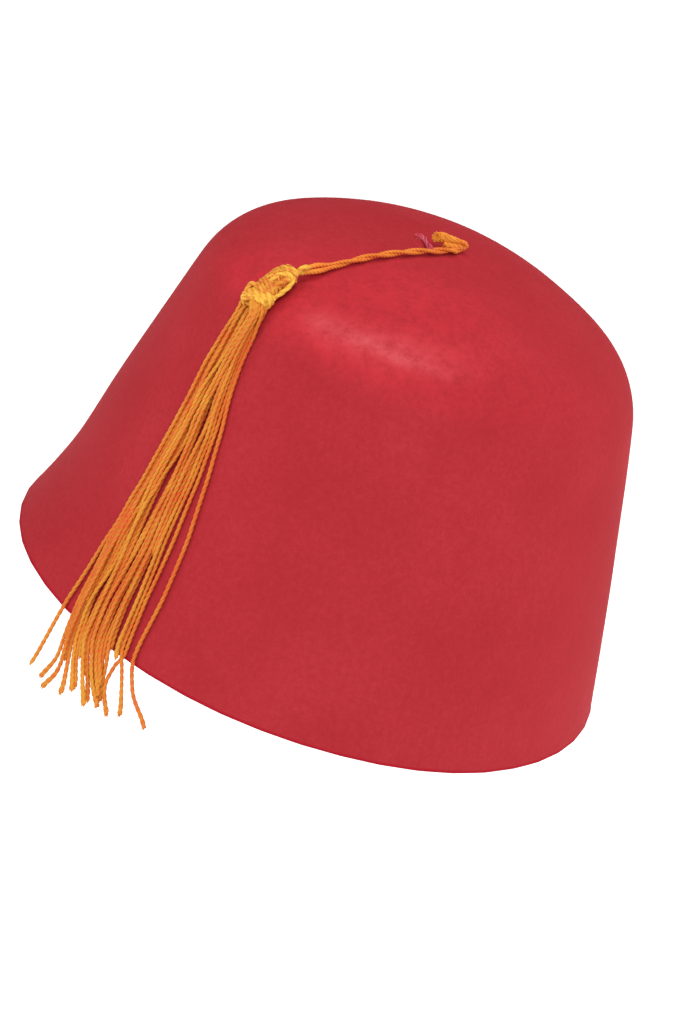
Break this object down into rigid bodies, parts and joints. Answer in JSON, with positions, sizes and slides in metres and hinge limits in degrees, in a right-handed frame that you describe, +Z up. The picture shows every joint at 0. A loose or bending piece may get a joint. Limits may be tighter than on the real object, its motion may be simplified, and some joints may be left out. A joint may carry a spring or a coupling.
{
  "type": "fez hat",
  "caption": "Round-shouldered fez: a tapered, domed felt crown with an open oval rim, and a tassel that hangs from a cord on its top down over the wall.",
  "frame": {"origin": "middle of the rim's opening, in the flat plane of the rim, where the hat sits on a head", "axes": "+Z up through the middle of the top, +Y from the front to the back, along the rim's longer way, and +X across. The tassel hangs at the front, towards -X."},
  "size_m": [0.1822, 0.1966, 0.1419],
  "materials": {
    "red_felt": "matt felt with a soft nap",
    "gold_cord": "twisted rayon with a soft sheen",
    "gold_wrap": "wrapped rayon thread with a soft sheen",
    "gold_strand": "twisted rayon strands with a soft sheen"
  },
  "bodies": {
    "root": {"felt_crown": "red_felt", "cord_end_fold": "gold_cord", "tassel_cord": "gold_cord", "tassel_knot": "gold_wrap", "neck_binding": "gold_wrap", "tassel_skirt": "gold_strand"}
  },
  "joints": []
}
